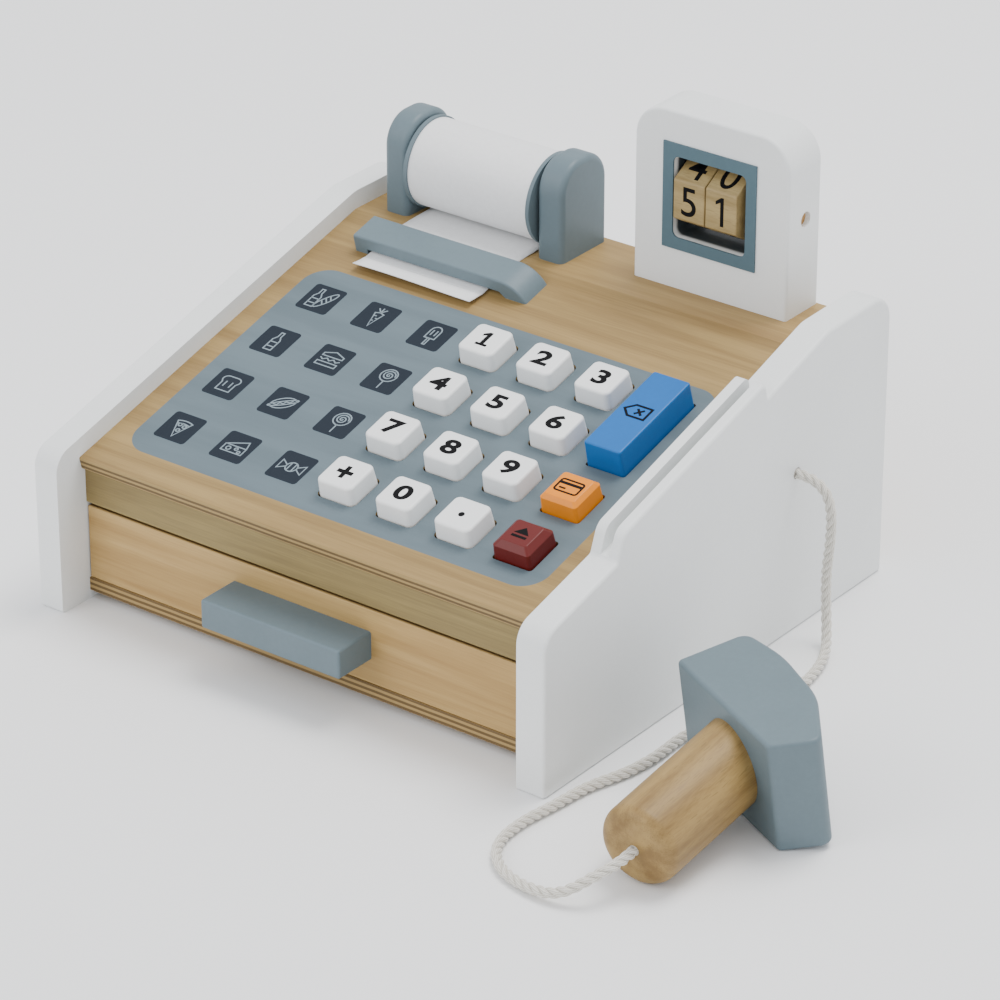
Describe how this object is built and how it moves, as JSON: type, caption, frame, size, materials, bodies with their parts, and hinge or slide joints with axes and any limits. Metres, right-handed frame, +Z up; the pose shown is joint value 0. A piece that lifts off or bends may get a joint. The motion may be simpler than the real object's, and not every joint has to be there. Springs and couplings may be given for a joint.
{
  "type": "toy cash register",
  "caption": "Wooden toy cash register with sloping keypad, coin drawer, receipt roll, number-wheel display, card slot and a hand scanner on a cord.",
  "frame": {"origin": "centre of the bottom of the box around the register and its scanner, the cord left out; the table top is z = 0", "axes": "+X to the right as seen from the drawer side, +Y from the drawer towards the back, +Z up"},
  "size_m": [0.3768, 0.3079, 0.1972],
  "materials": {
    "white_paint": "satin white lacquer on fibreboard",
    "white_key": "satin white lacquer",
    "plywood": "birch plywood with a clear matt lacquer",
    "wood": "solid beech or birch, smooth",
    "grey_paint": "satin blue-grey lacquer on wood",
    "bezel": "blue-grey, printed",
    "paper": "plain white paper",
    "steel": "zinc plated",
    "cotton": "twisted cotton cord",
    "blue_paint": "satin blue lacquer",
    "orange_paint": "satin orange lacquer",
    "red_paint": "satin red-brown lacquer"
  },
  "bodies": {
    "case": {"left_side_panel": "white_paint", "right_side_panel": "white_paint", "base_board": "plywood", "back_panel": "plywood", "front_rail": "plywood", "key_deck": "plywood", "top_shelf": "plywood", "key_bed": "plywood", "key_bed_battens": "wood", "key_springs": "steel", "drawer_stop": "wood", "case_dowels": "wood", "receipt_bridge": "grey_paint", "receipt_strip": "paper", "left_roll_support": "grey_paint", "right_roll_support": "grey_paint", "support_dowels": "wood", "roll_axle": "wood", "display_block": "white_paint", "display_bezel": "bezel", "display_axle": "wood", "display_dowels": "wood", "wheel_washers": "wood", "cord": "cotton", "cord_anchor": "cotton"},
    "drawer": {"drawer_front": "plywood", "drawer_side_left": "plywood", "drawer_side_right": "plywood", "drawer_back": "plywood", "drawer_bottom": "plywood", "divider_left": "plywood", "divider_right": "plywood", "drawer_handle": "grey_paint", "handle_screws": "steel"},
    "roll": {"roll_core": "grey_paint", "paper_roll": "paper"},
    "tens_wheel": {"tens_wheel": "wood"},
    "units_wheel": {"units_wheel": "wood"},
    "scanner": {"scanner_head": "grey_paint", "scanner_handle": "wood", "scanner_dowel": "wood", "scanner_cord_end": "cotton"},
    "key_0": {"key_0": "white_key"},
    "key_1": {"key_1": "white_key"},
    "key_2": {"key_2": "white_key"},
    "key_3": {"key_3": "white_key"},
    "key_4": {"key_4": "white_key"},
    "key_5": {"key_5": "white_key"},
    "key_6": {"key_6": "white_key"},
    "key_7": {"key_7": "white_key"},
    "key_8": {"key_8": "white_key"},
    "key_9": {"key_9": "white_key"},
    "key_plus": {"key_plus": "white_key"},
    "key_point": {"key_point": "white_key"},
    "key_clear": {"key_clear": "blue_paint"},
    "key_card": {"key_card": "orange_paint"},
    "key_open": {"key_open": "red_paint"}
  },
  "joints": [
    {"name": "drawer_slide", "type": "slide", "parent": "case", "child": "drawer", "axis": [0, -1, 0], "range_m": [0, 0.16]},
    {"name": "key_0_press", "type": "slide", "parent": "case", "child": "key_0", "axis": [0, 0.2498, -0.9683], "range_m": [0, 0.003], "stiffness_N_per_m": 400, "springref_m": -0.001, "deforming": ["key_springs"]},
    {"name": "key_1_press", "type": "slide", "parent": "case", "child": "key_1", "axis": [0, 0.2498, -0.9683], "range_m": [0, 0.003], "stiffness_N_per_m": 400, "springref_m": -0.001},
    {"name": "key_2_press", "type": "slide", "parent": "case", "child": "key_2", "axis": [0, 0.2498, -0.9683], "range_m": [0, 0.003], "stiffness_N_per_m": 400, "springref_m": -0.001},
    {"name": "key_3_press", "type": "slide", "parent": "case", "child": "key_3", "axis": [0, 0.2498, -0.9683], "range_m": [0, 0.003], "stiffness_N_per_m": 400, "springref_m": -0.001},
    {"name": "key_4_press", "type": "slide", "parent": "case", "child": "key_4", "axis": [0, 0.2498, -0.9683], "range_m": [0, 0.003], "stiffness_N_per_m": 400, "springref_m": -0.001},
    {"name": "key_5_press", "type": "slide", "parent": "case", "child": "key_5", "axis": [0, 0.2498, -0.9683], "range_m": [0, 0.003], "stiffness_N_per_m": 400, "springref_m": -0.001},
    {"name": "key_6_press", "type": "slide", "parent": "case", "child": "key_6", "axis": [0, 0.2498, -0.9683], "range_m": [0, 0.003], "stiffness_N_per_m": 400, "springref_m": -0.001},
    {"name": "key_7_press", "type": "slide", "parent": "case", "child": "key_7", "axis": [0, 0.2498, -0.9683], "range_m": [0, 0.003], "stiffness_N_per_m": 400, "springref_m": -0.001},
    {"name": "key_8_press", "type": "slide", "parent": "case", "child": "key_8", "axis": [0, 0.2498, -0.9683], "range_m": [0, 0.003], "stiffness_N_per_m": 400, "springref_m": -0.001},
    {"name": "key_9_press", "type": "slide", "parent": "case", "child": "key_9", "axis": [0, 0.2498, -0.9683], "range_m": [0, 0.003], "stiffness_N_per_m": 400, "springref_m": -0.001},
    {"name": "key_plus_press", "type": "slide", "parent": "case", "child": "key_plus", "axis": [0, 0.2498, -0.9683], "range_m": [0, 0.003], "stiffness_N_per_m": 400, "springref_m": -0.001},
    {"name": "key_point_press", "type": "slide", "parent": "case", "child": "key_point", "axis": [0, 0.2498, -0.9683], "range_m": [0, 0.003], "stiffness_N_per_m": 400, "springref_m": -0.001},
    {"name": "key_clear_press", "type": "slide", "parent": "case", "child": "key_clear", "axis": [0, 0.2498, -0.9683], "range_m": [0, 0.003], "stiffness_N_per_m": 700, "springref_m": -0.001},
    {"name": "key_card_press", "type": "slide", "parent": "case", "child": "key_card", "axis": [0, 0.2498, -0.9683], "range_m": [0, 0.003], "stiffness_N_per_m": 400, "springref_m": -0.001},
    {"name": "key_open_press", "type": "slide", "parent": "case", "child": "key_open", "axis": [0, 0.2498, -0.9683], "range_m": [0, 0.003], "stiffness_N_per_m": 400, "springref_m": -0.001},
    {"name": "roll_spin", "type": "hinge", "parent": "case", "child": "roll", "pos_m": [-0.1164, 0.11652, 0.138], "axis": [-1, 0, 0], "continuous": true},
    {"name": "tens_wheel_spin", "type": "hinge", "parent": "case", "child": "tens_wheel", "pos_m": [-0.0074, 0.12402, 0.1587], "axis": [1, 0, 0], "continuous": true},
    {"name": "units_wheel_spin", "type": "hinge", "parent": "case", "child": "units_wheel", "pos_m": [0.0086, 0.12402, 0.1587], "axis": [1, 0, 0], "continuous": true},
    {"name": "scanner_lift", "type": "slide", "parent": "case", "child": "scanner", "axis": [0, 0, 1], "range_m": [0, 0.12]}
  ]
}
